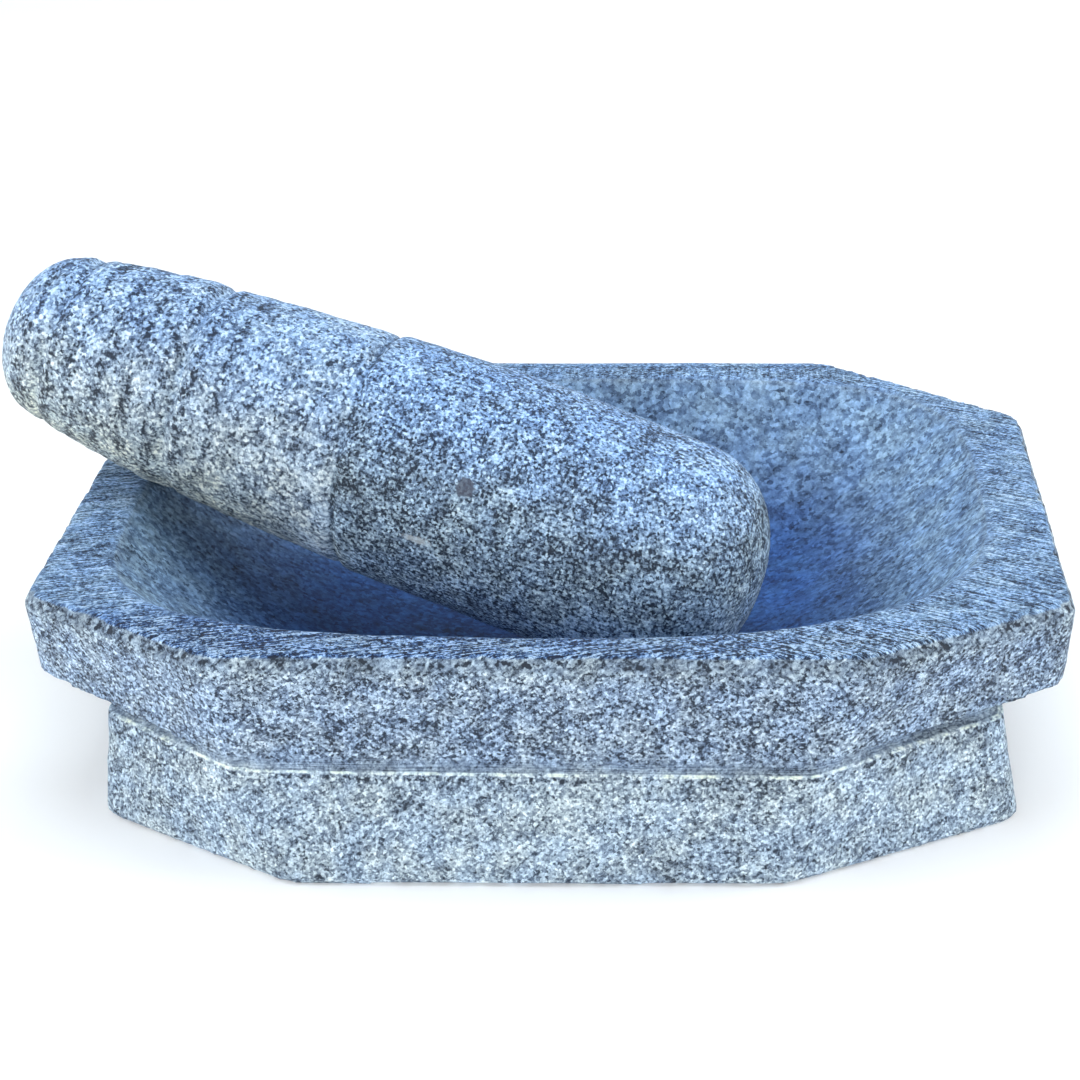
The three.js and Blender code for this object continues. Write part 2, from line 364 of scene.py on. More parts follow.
def mortar_zones(piece):
    points, normals = points_of(piece), normals_of(piece)
    share = bowl_share(points)
    z = points[:, 2]
    wall = FLOOR + (HEIGHT - FLOOR) * np.minimum(share, 1) ** WALL_POWER
    inside = (1 - smooth_step(0.985, 1.03, share)) * smooth_step(-8 * MM, -5 * MM, z - wall)
    outside = 1 - smooth_step(0.55, 0.9, np.abs(normals[:, 2]))
    outside *= 1 - inside
    edge = smooth_step(HEIGHT - 6 * MM, HEIGHT - 3.5 * MM, z)
    edge *= smooth_step(0.1, 0.3, normals[:, 2]) * (1 - smooth_step(0.93, 0.995, normals[:, 2]))
    edge *= smooth_step(1.05, 1.1, share)
    flat = smooth_step(HEIGHT - 2.5 * MM, HEIGHT - 1 * MM, z) * (1 - inside)
    groove = smooth_step(FOOT_HEIGHT - 0.5 * MM, FOOT_HEIGHT + 0.5 * MM, z)
    groove *= 1 - smooth_step(SLAB_UNDER_SIDE, SLAB_UNDER_SIDE + 1 * MM, z)
    return {"bowl": inside, "outside": outside, "edge": edge, "flat": flat,
            "groove": groove * (1 - inside)}


zones = mortar_zones(mortar)
for zone, weight in zones.items():
    print(f"{zone}: {100 * weight.mean():.0f}% of the points")

# %% Move the surface
CHIP_DEPTH = 1.7 * MM
INWARDS = 0.2 * MM
points, normals = points_of(mortar), normals_of(mortar)
low_side = smooth_step(2 * MM, 6 * MM, points[:, 2])
chips = np.clip(lumps(points, 3.4 * MM, 4, 3) - 0.12, 0, None)
wear = [  # how deep and how wide its lumps are in mm, seed, octaves, and where it acts
    (0.55, 42, 1, 2, zones["outside"] + 0.3 * zones["flat"]),
    (0.16, 6, 2, 2, (1 - zones["flat"]) * low_side),
    (0.12, 2.6, 3, 1, (1 - 0.7 * zones["flat"]) * low_side),
    (0.35, 14, 5, 2, zones["bowl"]),
]
move = sum(depth * MM * lumps(points, size * MM, seed, octaves) * where
           for depth, size, seed, octaves, where in wear)
move -= CHIP_DEPTH * chips * zones["edge"] + INWARDS * zones["outside"]
put_points(mortar, np.clip(points + normals * move[:, None], LOW, HIGH))
low_now, high_now = points_of(mortar).min(0), points_of(mortar).max(0)
print("mortar spans", (low_now / MM).round(1), "to", (high_now / MM).round(1), "mm")

# %% [markdown]
# ## The pestle
#
# The pestle is a club that fills the hand: a domed end, a handle pecked with shallow rings, a
# groove, and a smooth fat head. It was turned by eye, so it is
# round enough to spin but never exact. One vertex is walked along its outline, the outline is
# spun about the Z axis, and the rings and dents are then pushed in.

# %% The pestle's outline
PESTLE_LENGTH = 204.6 * MM
RADII = [19.1, 23.5, 26.5, 27.8, 28.9, 29.8, 30.8, 31.5, 30.9, 29.8, 29.3]
BUTT_CAP, BUTT_POWER = 14 * MM, 2.4
HEAD_CAP, HEAD_POWER = 24 * MM, 2.2
BUTT_STEPS, BODY_STEPS, HEAD_STEPS = 12, 40, 14
SPIN_STEPS = 96


def outline_radius(along):
    """The club's half-thickness at this distance from its handle end."""
    places = np.linspace(0, PESTLE_LENGTH, len(RADII))
    plain = np.interp(along, places, RADII) * MM
    butt = np.clip((BUTT_CAP - along) / BUTT_CAP, 0, 1)
    head = np.clip((along - PESTLE_LENGTH + HEAD_CAP) / HEAD_CAP, 0, 1)
    return (plain * (1 - butt ** BUTT_POWER) ** (1 / BUTT_POWER)
            * (1 - head ** HEAD_POWER) ** (1 / HEAD_POWER))


def outline_places():
    """Closer together on the rounded ends, where the outline turns quickly."""
    quarter = math.pi / 2
    butt = [BUTT_CAP * (1 - math.cos(quarter * i / BUTT_STEPS)) for i in range(BUTT_STEPS)]
    body = list(np.linspace(BUTT_CAP, PESTLE_LENGTH - HEAD_CAP, BODY_STEPS))
    head = [PESTLE_LENGTH - HEAD_CAP + HEAD_CAP * math.sin(quarter * i / HEAD_STEPS)
            for i in range(1, HEAD_STEPS + 1)]
    return butt + body + head


def walk_outline(places):
    """A single vertex, extruded step by step along the outline."""
    bpy.ops.object.select_all(action="DESELECT")
    bpy.ops.mesh.primitive_plane_add(size=MM)
    piece = named("pestle_stone")
    bpy.ops.object.mode_set(mode="EDIT")
    bpy.ops.mesh.select_mode(type="VERT")
    bpy.ops.mesh.select_all(action="SELECT")
    bpy.ops.mesh.merge(type="CENTER")
    x, z = 0.0, 0.0
    for place in places[1:]:
        new_x = float(outline_radius(place))
        bpy.ops.mesh.extrude_vertices_move(
            TRANSFORM_OT_translate={"value": (new_x - x, 0, place - z)})
        x, z = new_x, place
    return piece


pestle = walk_outline(outline_places())
bpy.ops.mesh.select_all(action="SELECT")
bpy.ops.mesh.spin(steps=SPIN_STEPS, angle=2 * math.pi, center=(0, 0, 0), axis=(0, 0, 1))
bpy.ops.mesh.select_all(action="SELECT")
bpy.ops.mesh.remove_doubles(threshold=0.02 * MM)
bpy.ops.mesh.normals_make_consistent(inside=False)
bpy.ops.object.mode_set(mode="OBJECT")
PESTLE_VOXEL = 0.78 * MM
finish_modifier(pestle, "REMESH", mode="VOXEL", voxel_size=PESTLE_VOXEL, use_smooth_shade=True)
print("pestle after the remesh:", len(pestle.data.polygons), "faces")

# %% Rings, grooves and dents
# While the club stands upright, +X is the side that will face the front and +Y the side that
# will face down.
RING_PITCH, RING_DEPTH = 7.7 * MM, 0.17 * MM
SEAM_LEAN = 0.1
STEP_HEIGHT = 0.6 * MM
GROOVES = [  # distance along, lean, half width, depth
    (17.2 * MM, -0.03, 1.4 * MM, 1.3 * MM),
    (23.0 * MM, 0.0, 1.2 * MM, 0.4 * MM),
    (38.0 * MM, 0.0, 1.3 * MM, 0.45 * MM),
    (54.0 * MM, 0.03, 1.7 * MM, 2.1 * MM),
    (100.6 * MM, SEAM_LEAN, 1.2 * MM, 1.3 * MM),
]


def carve_pestle(piece):
    points, normals = points_of(piece), normals_of(piece)
    along = points[:, 2]
    round_part = smooth_step(3 * MM, 8 * MM, along) * (1 - smooth_step(190 * MM, 200 * MM, along))
    handle = smooth_step(4 * MM, 12 * MM, along) * (1 - smooth_step(92 * MM, 98 * MM, along))
    wobble = 1.4 * MM * lumps(points, 22 * MM, 11)
    ripple = np.cos(2 * math.pi * (along + wobble) / RING_PITCH)
    fade = 1 - 0.6 * smooth_step(50 * MM, 70 * MM, along)
    move = RING_DEPTH * ripple * handle * fade * (0.6 + 0.6 * lumps(points, 16 * MM, 12))
    for station, lean, half_width, depth in GROOVES:
        away = (along + 0.4 * wobble - station - lean * points[:, 1]) / half_width
        cut = np.exp(-away ** 2)
        move -= depth * cut * (0.8 + 0.5 * lumps(points, 12 * MM, 13))
    step = smooth_step(99.5 * MM, 103 * MM, along - SEAM_LEAN * points[:, 1])
    move += STEP_HEIGHT * step * (1 - smooth_step(106 * MM, 135 * MM, along))
    dents = [  # how deep and how wide in mm, seed, octaves, and where
        (0.35, 34, 14, 2, round_part),
        (0.16, 5, 15, 2, 0.5 + 0.6 * handle),
        (0.09, 2.2, 16, 1, 0.7 + 0.6 * handle),
    ]
    for deep, wide, seed, octaves, where in dents:
        move += deep * MM * lumps(points, wide * MM, seed, octaves) * where
    put_points(piece, points + normals * (move - INWARDS)[:, None])


carve_pestle(pestle)
print("pestle length", round(float(np.ptp(points_of(pestle)[:, 2])) / MM, 1), "mm")

# %% [markdown]
# ## Laying the pestle down
#
# The solid already lies where the pestle rests, so its own points give the resting line: they
# are even all round the axis, so their mean is on it and their longest direction runs along it.
# Before the club is laid down, each point's upright place is kept as an attribute, and the
# stone's pattern is read from that, so the rings of the pattern follow the rings of the shape.


# %% Keep the upright places, then lay it down
def keep_attribute(piece, name, values):
    """Stores a number, or a row of three numbers, on every vertex."""
    kind = "FLOAT_VECTOR" if values.ndim > 1 else "FLOAT"
    attribute = piece.data.attributes.new(name, kind, "POINT")
    attribute.data.foreach_set("vector" if values.ndim > 1 else "value",
                               values.astype(np.float32).ravel())


def resting_line(solid):
    """(end of the handle, direction towards the head) of the pestle's solid."""
    places = np.unique(points_of(solid).round(7), axis=0)
    middle = places.mean(0)
    direction = np.linalg.svd(places - middle, full_matrices=False)[2][0]
    direction *= np.sign(direction[0])
    ends = (places - middle) @ direction
    return Vector(middle + direction * ends.min()), Vector(direction)


def lay_down(piece, start, direction):
    front = direction.cross(Vector((0, 0, 1))).normalized()
    down = direction.cross(front)
    turned = Matrix((front, down, direction)).transposed().to_4x4()
    only(piece)
    piece.matrix_world = Matrix.Translation(start) @ turned
    bpy.ops.object.transform_apply(location=True, rotation=True, scale=True)


keep_attribute(pestle, "upright", points_of(pestle) / MM)
handle_end, line = resting_line(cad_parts["pestle"])
lay_down(pestle, handle_end, line)
put_points(pestle, np.clip(points_of(pestle), *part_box("pestle")))
print(f"pestle dips {math.degrees(math.asin(-line.z)):.1f} degrees into the bowl")

# %% Keep the mortar's zones for its material
KEPT_ZONES = ("bowl", "edge", "outside", "groove")
zones = mortar_zones(mortar)
for zone in KEPT_ZONES:
    keep_attribute(mortar, zone, zones[zone])
print("kept on the mortar:", ", ".join(KEPT_ZONES))

# %% [markdown]
# ## Writing a stone as a sum
#
# A granite is a sum of simple patterns: pale feldspar, grey quartz, black mica, a tint, and the
# scratches of the tool. Written as nodes by hand that sum is long, so a small class wraps a
# socket and lets Python's own signs add the Math nodes.


# %% Shader values that can be added and multiplied
class Value:
    """A number that changes over a surface: the output socket of some node."""

    def __init__(self, recipe, socket):
        self.recipe, self.socket = recipe, socket

    def math(self, operation, *values, clamp=False):
        node = self.recipe.node("ShaderNodeMath", {"operation": operation, "use_clamp": clamp},
                                dict(enumerate(values)))
        return Value(self.recipe, node.outputs[0])

    def __add__(self, other): return self.math("ADD", self, other)
    def __radd__(self, other): return self.math("ADD", other, self)
    def __sub__(self, other): return self.math("SUBTRACT", self, other)
    def __rsub__(self, other): return self.math("SUBTRACT", other, self)
    def __mul__(self, other): return self.math("MULTIPLY", self, other)
    def __rmul__(self, other): return self.math("MULTIPLY", other, self)
    def __neg__(self): return self.math("MULTIPLY", self, -1.0)

    def clamped(self): return self.math("ADD", self, 0.0, clamp=True)
    def size(self): return self.math("ABSOLUTE", self)
    def wave(self): return self.math("COSINE", self)
    def most(self, other): return self.math("MAXIMUM", self, other)

    def between(self, low, high):
        """0 at low, 1 at high, and smooth between them."""
        node = self.recipe.node("ShaderNodeMapRange", {"interpolation_type": "SMOOTHSTEP"},
                                {"Value": self, "From Min": low, "From Max": high})
        return Value(self.recipe, node.outputs["Result"])


class Recipe:
    """One material and the nodes that make it."""

    def __init__(self, name):
        self.material = bpy.data.materials.new(name)
        self.material.use_nodes = True
        self.tree = self.material.node_tree
        self.shader = self.tree.nodes["Principled BSDF"]

    def node(self, kind, settings=None, sockets=None):
        """Adds a node: its settings first, then a value or a link for each named socket."""
        node = self.tree.nodes.new(kind)
        for setting, value in (settings or {}).items():
            if setting == "stops":
                self.set_stops(node.color_ramp, value)
            else:
                setattr(node, setting, value)
        for socket, value in (sockets or {}).items():
            self.feed(node.inputs[socket], value)
        return node

    def feed(self, socket, value):
        if isinstance(value, Value):
            self.tree.links.new(value.socket, socket)
        elif isinstance(value, bpy.types.NodeSocket):
            self.tree.links.new(value, socket)
        elif socket.type == "RGBA" and len(value) == 3:
            socket.default_value = (*value, 1.0)
        else:
            socket.default_value = value

    def set_stops(self, ramp, stops):
        while len(ramp.elements) < len(stops):
            ramp.elements.new(0.5)
        for element, (place, colour) in zip(ramp.elements, stops):
            element.position = place
            element.color = (*colour, 1.0)

    def value(self, node, output=0):
        return Value(self, node.outputs[output])

    def places(self, attribute=None):
        """Where a point of the stone is, in millimetres."""
        if attribute:
            kept = self.node("ShaderNodeAttribute", {"attribute_name": attribute})
            return kept.outputs["Vector"]
        own = self.node("ShaderNodeTexCoord").outputs["Object"]
        return self.vector("SCALE", own, scale=1 / MM)

    def vector(self, operation, a, b=None, scale=None):
        sockets = {0: a}
        if b is not None:
            sockets[1] = b
        if scale is not None:
            sockets["Scale"] = scale
        return self.node("ShaderNodeVectorMath", {"operation": operation}, sockets).outputs[0]

    def axes(self, places):
        split = self.node("ShaderNodeSeparateXYZ", None, {0: places})
        return [self.value(split, i) for i in range(3)]

    def turned(self, places, angles, sizes):
        """The places turned, then squeezed so that a pattern is this many mm long each way."""
        turned = self.node("ShaderNodeVectorRotate", {"rotation_type": "EULER_XYZ"},
                           {"Vector": places, "Rotation": angles}).outputs[0]
        return self.vector("MULTIPLY", turned, tuple(1 / size for size in sizes))

    def noise(self, places, size, detail=2.0, rough=0.5, colour=False):
        node = self.node("ShaderNodeTexNoise", {"noise_dimensions": "3D"},
                         {"Vector": places, "Scale": 1 / size, "Detail": detail,
                          "Roughness": rough})
        return node.outputs["Color"] if colour else self.value(node, "Fac")

    def grains(self, places, size):
        """A cell pattern: a random number for each grain."""
        node = self.node("ShaderNodeTexVoronoi", {"voronoi_dimensions": "3D", "feature": "F1"},
                         {"Vector": places, "Scale": 1 / size})
        split = self.node("ShaderNodeSeparateColor", None, {0: node.outputs["Color"]})
        return self.value(split, 0)

    def away(self, places, middle, sizes):
        """Distance from a place, 1 on the ellipsoid with these half sizes."""
        offset = self.vector("SUBTRACT", places, middle)
        scaled = self.vector("MULTIPLY", offset, tuple(1 / size for size in sizes))
        length = self.node("ShaderNodeVectorMath", {"operation": "LENGTH"}, {0: scaled})
        return self.value(length, "Value")

    def attribute(self, name):
        return self.value(self.node("ShaderNodeAttribute", {"attribute_name": name}), "Fac")

    def mix(self, share, a, b):
        """Colour a where share is 0 and colour b where it is 1."""
        node = self.node("ShaderNodeMix", {"data_type": "RGBA"})
        self.feed(node.inputs[0], share)
        self.feed(node.inputs[6], a)
        self.feed(node.inputs[7], b)
        return node.outputs[2]

    def tinted(self, share, colour, tint):
        """The colour multiplied by a tint, as far as share says."""
        node = self.node("ShaderNodeMix", {"data_type": "RGBA", "blend_type": "MULTIPLY"})
        self.feed(node.inputs[0], share)
        self.feed(node.inputs[6], colour)
        self.feed(node.inputs[7], tint)
        return node.outputs[2]


# %% [markdown]
# ## The granite
#
# Seen close, this granite is salt and pepper: grains one to two millimetres across, pale and
# mid-grey, with mica flecks that gather in loose clusters. Cells alone look like a mosaic, so
# the places are first shaken by a fine noise, and a soft noise is added to the cells' values.


# %% Grains shared by both stones
def speckle(recipe, places, size, contrast=1.0):
    """A value from 0, black mica, to 1, pale feldspar, in grains of about this size in mm."""
    shake = recipe.noise(places, 0.9 * size, 2, 0.6, colour=True)
    shake = recipe.vector("SUBTRACT", shake, (0.5, 0.5, 0.5))
    shaken = recipe.vector("ADD", places, recipe.vector("SCALE", shake, scale=1.5 * size))
    cell = recipe.grains(shaken, size)
    soft = recipe.noise(places, 1.5 * size, 4, 0.7)
    cluster = recipe.noise(places, 7 * size, 2, 0.5)
    mixed = 0.5 * (cell - 0.5) + 1.15 * (soft - 0.5) + 0.5 * (cluster - 0.5)
    return 0.5 + contrast * mixed


MICA = (0.016, 0.026, 0.043)
QUARTZ = (0.135, 0.185, 0.255)
PALE_QUARTZ = (0.31, 0.395, 0.48)
FELDSPAR = (0.51, 0.63, 0.725)
GLINT = (0.80, 0.90, 0.95)


def grain_colour(recipe, value):
    """Mica, quartz and feldspar in turn, then a few glints."""
    ramp = recipe.node("ShaderNodeValToRGB", {"stops": [
        (0.17, MICA), (0.36, QUARTZ), (0.54, PALE_QUARTZ), (0.70, FELDSPAR),
        (0.90, GLINT)]}, {0: value})
    return ramp.outputs["Color"]


# %% Tints and finish shared by both stones
WARM_DRIFT, COOL_DRIFT = (1.03, 1.0, 0.95), (0.96, 1.0, 1.06)
BUMP_DEPTH = 0.3 * MM
STONE_SHINE = 0.35


def hue_drift(recipe, places, colour):
    """Warmer and cooler patches a finger's width across."""
    drift = recipe.noise(places, 9, 3, 0.6).between(0.35, 0.65)
    return recipe.tinted(1.0, colour, recipe.mix(drift, WARM_DRIFT, COOL_DRIFT))


def finish_stone(recipe, colour, height, roughness):
    """Colour, roughness, and a bump whose height is in the grain's own value."""
    recipe.feed(recipe.shader.inputs["Base Color"], colour)
    recipe.feed(recipe.shader.inputs["Roughness"], roughness)
    recipe.shader.inputs["Specular IOR Level"].default_value = STONE_SHINE
    bump = recipe.node("ShaderNodeBump", None, {"Strength": 1.0, "Distance": BUMP_DEPTH,
                                                "Height": height})
    recipe.feed(recipe.shader.inputs["Normal"], bump.outputs[0])


def marks(recipe, places, turn, sizes, detail=3, rough=0.6):
    """Scratches of a tool, about zero: a noise turned and squeezed to one mark's size."""
    return recipe.noise(recipe.turned(places, turn, sizes), 1, detail, rough) - 0.5


# %% [markdown]
# ## The mortar's finish
#
# Each tool left its own mark: the grinder long strokes over the top, a toothed one short
# marks across the back strip, the saw slanting lines on the sides, and the disc fine ridges
# in the groove. Each mark is added to the grain's value only in its own zone, and tints are
# laid over the zones after that. Several tints are painted light and shade: painted sky light
# on the top and the bowl's upper wall, painted shade deepest at the bowl's floor and on its
# left wall, and a painted shadow of the pestle on the front strip. Lengths here are in
# millimetres.

# %% The mortar's zones as shares
MORTAR_GRAIN, BOWL_GRAIN = 0.60, 1.15
STROKE = (9, 0.38, 3)
TOOTH_MARK = (0.7, 6, 6)
SAW_MARK = (8, 3, 0.5)
DISC_LINE = (16, 16, 0.28)


def mortar_shares(recipe, axes):
    """How far a point belongs to each zone: kept attributes, and bands read from its place."""
    y, z = axes[1:]
    share = {zone: recipe.attribute(zone) for zone in KEPT_ZONES}
    share["top"] = z.between(54.5, 55.1) * (1 - share["bowl"])
    share["front"] = 1 - y.between(-84, -70)
    share["back"] = y.between(78, 84)
    share["foot"] = 1 - z.between(24, 27)
    share["ledge"] = (z.between(25.9, 26.3) * (1 - z.between(26.6, 26.9))
                      * share["outside"].most(share["groove"]))
    return share


# %% The mortar's tool marks
def grinder_strokes(recipe, places, x):
    """Strokes over the top, which turn the other way towards the right end."""
    left = marks(recipe, places, (0, 0, -0.25), STROKE, rough=0.65)
    right = marks(recipe, places, (0, 0, 0.5), STROKE, rough=0.65)
    return left + x.between(20, 70) * (right - left)


def ground_top(recipe, places, y, share, value, fine, strokes):
    """Strokes and some open grain on top, and a toothed strip and a thin line at the back."""
    top, front, back = share["top"], share["front"], share["back"]
    strength = 1.8 + 1.4 * front - 0.9 * back
    value = value + top * (0.15 * (0.54 - value) + strength * strokes)
    value = value + top * front * (0.7 * (fine - 0.5) - 0.035)
    tooth = marks(recipe, places, (0, 0, 0), TOOTH_MARK, detail=2)
    value = value + top * back * (1 - y.between(90, 91.5)) * (0.9 * tooth - 0.05)
    scribed = y.between(90.4, 91.3) * (1 - y.between(91.9, 92.8))
    return value - 0.16 * top * scribed


def sawn_sides(recipe, places, z, share, value, disc):
    """Slanting saw marks on the sides, and the disc's ridges in the groove."""
    outside = share["outside"]
    saw = marks(recipe, places, (0, 0.65, 0), SAW_MARK)
    value = value - 0.045 * outside * z.between(26, 30) + outside * 0.45 * saw
    return value + share["groove"] * (0.55 * (0.44 - value) + 0.8 * disc)


def broken_edges(recipe, places, z, share, value, breaks):
    """A pale ledge on the foot, and rows of lost grains under it and under the top edge."""
    value = value + (0.35 + 0.65 * breaks) * share["ledge"] * 0.42
    dots = recipe.noise(places, 1.6, 1, 0.5).between(0.5, 0.62)
    under_ledge = z.between(24.4, 25.1) * (1 - z.between(25.6, 26.1)) * share["outside"]
    value = value - under_ledge * dots * 0.3
    under_edge = z.between(52.2, 53.2) * (1 - z.between(54.0, 55.0)) * share["outside"]
    return value - under_edge * (0.4 + 0.6 * breaks) * dots * 0.45


# %% The mortar's tints
# Painted shade, dark and blue, for the bowl's floor, and painted sky light, bluer, for its upper
# wall.
DEEP_BOWL_SHADE_TINT, UPPER_BOWL_SKYLIGHT_TINT = (0.115, 0.27, 0.66), (0.74, 0.93, 1.18)
# Painted shade: the bowl's left wall, shaded by the pestle, gets less of the sky's blue.
LEFT_WALL_SHADE_TINT = (1.04, 0.99, 0.90)
# Painted sky light: the top faces up and is made bluer, its darker grains most.
TOP_SKYLIGHT_TINT = (0.70, 0.93, 1.26)
# Painted shadow of the pestle on the front strip of the top, left of the middle.
FRONT_STRIP_SHADOW_TINT = (0.42, 0.56, 0.78)
FOOT_TINT, SLAB_TINT = (1.08, 1.09, 1.09), (0.93, 0.98, 1.08)
LEDGE_TINT, TOP_EDGE_TINT = (1.0, 1.0, 0.86), (1.0, 0.97, 0.90)


def mortar_tints(recipe, axes, share, value, breaks):
    """Where each tint goes, in the order in which they are laid over each other."""
    x, y, z = axes
    top, outside = share["top"], share["outside"]
    # Painted light and shade in the bowl: darker and bluer towards the floor as painted shade,
    # more so at the left end where the pestle's shade falls and less at the right end, and bluer
    # at the upper wall as painted sky light.
    bowl_light_level = z - 3 * (1 - x.between(-95, -60)) + 4 * x.between(65, 95)
    bowl_shade_and_skylight = recipe.mix(bowl_light_level.between(20, 48), DEEP_BOWL_SHADE_TINT, UPPER_BOWL_SKYLIGHT_TINT)
    # Where the painted shadow of the pestle lies on the front strip.
    front_left_shadow = (1 - y.between(-80, -60)) * (1 - x.between(-10, 90))
    return [
        (share["bowl"], bowl_shade_and_skylight),
        # painted shade on the bowl's left wall
        (share["bowl"] * (1 - x.between(-100, -30)), LEFT_WALL_SHADE_TINT),
        # painted sky light on the top
        (top * (1 - 0.35 * value.between(0.55, 0.8)), TOP_SKYLIGHT_TINT),
        (top * front_left_shadow * (1 - 0.75 * value.between(0.5, 0.8)), FRONT_STRIP_SHADOW_TINT),
        (share["foot"], FOOT_TINT),
        (outside * z.between(26, 29), SLAB_TINT),
        (share["ledge"] * breaks, LEDGE_TINT),
        (outside * z.between(47, 52), TOP_EDGE_TINT),
    ]


# %% The mortar's stone
def mortar_stone():
    recipe = Recipe("mortar_granite")
    places = recipe.places()
    axes = x, y, z = recipe.axes(places)
    share = mortar_shares(recipe, axes)
    fine = speckle(recipe, places, MORTAR_GRAIN, 1.1)
    coarse = speckle(recipe, places, BOWL_GRAIN, 1.0)
    strokes = grinder_strokes(recipe, places, x)
    disc = marks(recipe, places, (0, 0, 0), DISC_LINE)
    breaks = recipe.noise(places, 5, 3, 0.7).between(0.42, 0.6)

    value = fine + (0.6 * share["edge"]).most(share["bowl"]) * (coarse - fine) - 0.02
    value = ground_top(recipe, places, y, share, value, fine, strokes)
    value = sawn_sides(recipe, places, z, share, value, disc)
    value = value + 0.25 * (recipe.noise(places, 28, 2, 0.5) - 0.5)
    value = value + share["bowl"] * 0.35 * (0.5 - value)
    value = broken_edges(recipe, places, z, share, value, breaks)
    value = value + 0.16 * share["foot"] * (0.50 - value)

    colour = hue_drift(recipe, places, grain_colour(recipe, value))
    for where, tint in mortar_tints(recipe, axes, share, value, breaks):
        colour = recipe.tinted(where, colour, tint)
    height = value + share["top"] * 0.6 * strokes + share["groove"] * 0.8 * disc
    finish_stone(recipe, colour, height, (0.62 + 0.25 * value).clamped())
    return recipe.material


# %% [markdown]
# ## The pestle's finish
#
# The handle is pecked in rings, with dark pits that gather in the hollows, and the head is
# smoother and finer. The pattern is read from the upright places, so it follows the club. Light
# and shade are painted on it as well: painted sky light makes the side facing up bluer, and
# paler on the head, and painted shade makes the underside of the handle greyer. Two things
# make this stone itself and no other: a dark inclusion in the head, and a small pale chip
# below it.

# %% The pestle's grain
HEAD_GRAIN, HANDLE_GRAIN = 0.64, 0.74
HEAD_STREAK = (3, 0.5, 9)
SEAM = 100.8


def pecked_rings(recipe, places, z, handle):
    """How much darker the pits make the handle, ring by ring."""
    wobble = recipe.noise(places, 14, 2, 0.5)
    ring = (2 * math.pi / (RING_PITCH / MM) * (z + 5 * (wobble - 0.5))).wave()
    gather = recipe.noise(places, 1.9, 2, 0.6).between(0.44, 0.6)
    ringed = handle * z.between(2, 8) * (1 - 0.6 * z.between(58, 75))
    return ringed * (0.1 - ring).between(0, 0.9) * gather * 0.31


def pestle_value(recipe, places, axes, handle, up):
    """The grain's value all over the club."""
    y, z = axes[1:]
    head = speckle(recipe, places, HEAD_GRAIN, 1.2)
    value = head + handle * (speckle(recipe, places, HANDLE_GRAIN, 1.1) - head)
    value = value - pecked_rings(recipe, places, z, handle) + 0.04 * handle - 0.02
    value = value + 0.08 * handle * z.between(86, 97) * y.between(-22, 5)
    pale_end = z.between(163, 183).most(y.between(-6, 16))
    # Painted sky light: the head is made paler on its side facing up.
    value = value + (1 - handle) * (0.05 * pale_end - 0.115 + 0.085 * up)
    value = value + 0.07 * z.between(140, 165) * y.between(-12, 8)
    value = value + 0.22 * (recipe.noise(places, 24, 2, 0.5) - 0.5)
    seam = 1 - (z - SEAM_LEAN * y - SEAM).size().between(0.3, 1.5)
    value = value - seam * recipe.noise(places, 4, 2, 0.5).between(0.4, 0.55) * 0.14
    return value + (1 - handle) * 0.5 * marks(recipe, places, (0, 0, 0), HEAD_STREAK)


# %% The pestle's tints and spots
HEAD_TINT, SHADED_HEAD_TINT = (0.93, 0.99, 1.06), (0.98, 0.99, 0.95)
# Painted sky light for the side facing up, and painted shade for the underside.
SKYLIGHT_PAINT_TINT, UNDERSIDE_SHADE_TINT = (0.86, 1.05, 1.37), (1.0, 0.94, 0.79)
INCLUSION, INCLUSION_SIZE = (28.0, -13.5, 132.1), (3, 2.6, 2.3)
INCLUSION_COLOUR = (0.075, 0.085, 0.12)
CHIP, CHIP_SIZE = (30.6, 3.0, 124.1), (3, 1.0, 3.4)
CHIP_COLOUR = (0.62, 0.68, 0.70)


def add_spots(recipe, places, colour):
    """The dark inclusion and the pale chip, both with ragged outlines."""
    ragged = 0.9 * (recipe.noise(places, 1.5, 2, 0.6) - 0.5)
    spot = recipe.away(places, INCLUSION, INCLUSION_SIZE) + ragged
    colour = recipe.mix(0.85 * (1 - spot.between(0.8, 1.1)), colour, INCLUSION_COLOUR)
    chip = recipe.away(places, CHIP, CHIP_SIZE) + 3 * ragged
    return recipe.mix(0.6 * (1 - chip.between(0.5, 1.3)), colour, CHIP_COLOUR)


# %% The pestle's stone
def pestle_stone():
    recipe = Recipe("pestle_granite")
    places = recipe.places("upright")
    axes = recipe.axes(places)
    y, z = axes[1:]
    upward = recipe.axes(recipe.node("ShaderNodeNewGeometry").outputs["Normal"])[2]
    # up is the side facing up, which gets painted sky light; under is the side facing down, which
    # gets painted shade on the handle.
    up, under = upward.between(0.1, 1.0), (-upward).between(-0.35, 0.7)
    handle = 1 - (z - SEAM_LEAN * y).between(99.6, 101.0)
    value = pestle_value(recipe, places, axes, handle, up)

    colour = hue_drift(recipe, places, grain_colour(recipe, value))
    colour = recipe.tinted(z.between(88, 112), colour, HEAD_TINT)
    # Painted sky light: the side facing up is made bluer, its darker grains most.
    painted_skylight = up * (1 - 0.45 * value.between(0.55, 0.8))
    colour = recipe.tinted(painted_skylight, colour, SKYLIGHT_PAINT_TINT)
    colour = recipe.tinted((1 - handle) * (1 - up), colour, SHADED_HEAD_TINT)
    # Painted shade: the underside of the handle loses blue and turns greyer.
    colour = recipe.tinted(under * (1 - z.between(70, 110)), colour, UNDERSIDE_SHADE_TINT)
    colour = add_spots(recipe, places, colour)
    finish_stone(recipe, colour, value, (0.6 + 0.25 * value).clamped())
    return recipe.material


# %% Give each stone its granite
for stone, material in ((mortar, mortar_stone()), (pestle, pestle_stone())):
    stone.data.materials.clear()
    stone.data.materials.append(material)
    print(material.name, "has", len(material.node_tree.nodes), "nodes")

